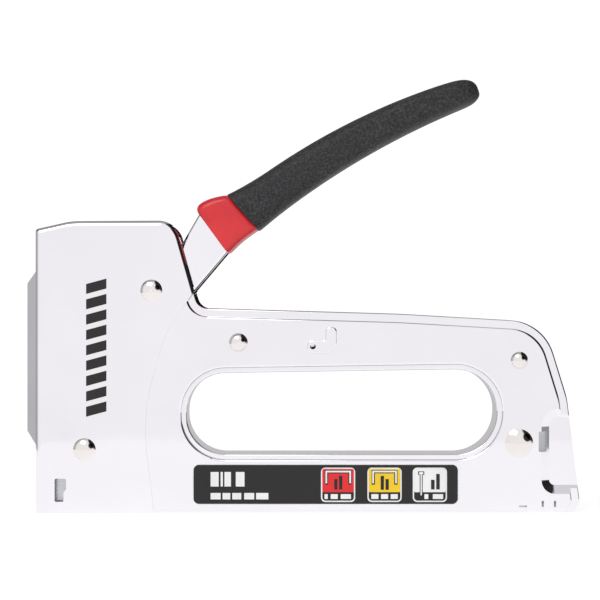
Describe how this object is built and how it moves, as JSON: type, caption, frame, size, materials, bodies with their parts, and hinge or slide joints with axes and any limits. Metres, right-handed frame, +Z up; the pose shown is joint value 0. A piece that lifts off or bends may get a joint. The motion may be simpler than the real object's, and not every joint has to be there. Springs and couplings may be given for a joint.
{
  "type": "hand staple gun",
  "caption": "Hand-squeezed staple gun: pressed-steel body with a hand opening, sprung lever with a soft grip, plunger and blade in the nose, rear-loading magazine.",
  "frame": {"origin": "middle of the base, between the bottom of the nose and the tail foot", "axes": "+X from the nose to the tail, +Y across the body, +Z up towards the lever"},
  "size_m": [0.1719, 0.024, 0.1355],
  "materials": {
    "bright_chrome": "polished chrome plate on pressed steel",
    "rivet_nickel": "polished nickel plate",
    "lever_chrome": "chrome plate on folded steel",
    "dark_steel": "oiled hardened steel",
    "zinc_steel": "bright zinc plate",
    "spring_steel": "drawn spring wire",
    "black_rubber": "moulded rubber",
    "black_grip": "finely stippled soft vinyl",
    "red_collar": "smooth satin vinyl",
    "label_film": "printed film"
  },
  "bodies": {
    "frame": {"nose_cover": "bright_chrome", "left_frame_shell": "bright_chrome", "right_frame_shell": "bright_chrome", "label_plate": "label_film", "pivot_rivet": "rivet_nickel", "nose_rivet": "rivet_nickel", "web_rivet": "rivet_nickel", "tail_upper_rivet": "rivet_nickel", "tail_lower_rivet": "rivet_nickel", "pivot_bush": "zinc_steel", "web_spacer": "zinc_steel", "tail_upper_spacer": "zinc_steel", "tail_lower_spacer": "zinc_steel", "power_spring": "spring_steel", "spring_post": "zinc_steel", "spring_seat": "zinc_steel", "plunger_buffer": "black_rubber", "handle_spring": "spring_steel", "nose_core": "zinc_steel", "magazine_channel": "zinc_steel", "staple_rail": "zinc_steel"},
    "handle": {"lever": "lever_chrome", "lift_pin": "dark_steel", "grip_sleeve": "black_grip", "grip_collar": "red_collar"},
    "driver": {"plunger": "dark_steel", "driver_blade": "dark_steel", "blade_pins": "zinc_steel"},
    "loader": {"pusher_rod": "zinc_steel", "pusher_spring": "spring_steel", "tail_latch": "zinc_steel"},
    "staple_pusher": {"pusher": "dark_steel"}
  },
  "joints": [
    {"name": "handle_squeeze", "type": "hinge", "parent": "frame", "child": "handle", "pos_m": [-0.047, 0, 0.069], "axis": [0, 1, 0], "range_deg": [0, 30], "stiffness_Nm_per_rad": 1.2, "springref_deg": -14.32},
    {"name": "driver_lift", "type": "slide", "parent": "frame", "child": "driver", "axis": [0, 0, 1], "range_m": [0, 0.0112], "stiffness_N_per_m": 1500, "springref_m": -0.01, "deforming": ["power_spring"]},
    {"name": "loader_pull", "type": "slide", "parent": "frame", "child": "loader", "axis": [1, 0, 0], "range_m": [0, 0.14]},
    {"name": "pusher_travel", "type": "slide", "parent": "loader", "child": "staple_pusher", "axis": [1, 0, 0], "range_m": [0, 0.12], "stiffness_N_per_m": 12, "springref_m": -0.05}
  ],
  "couplings": [
    {"joint": "driver_lift", "follows": "handle_squeeze", "m_per_rad": 0.021256}
  ]
}
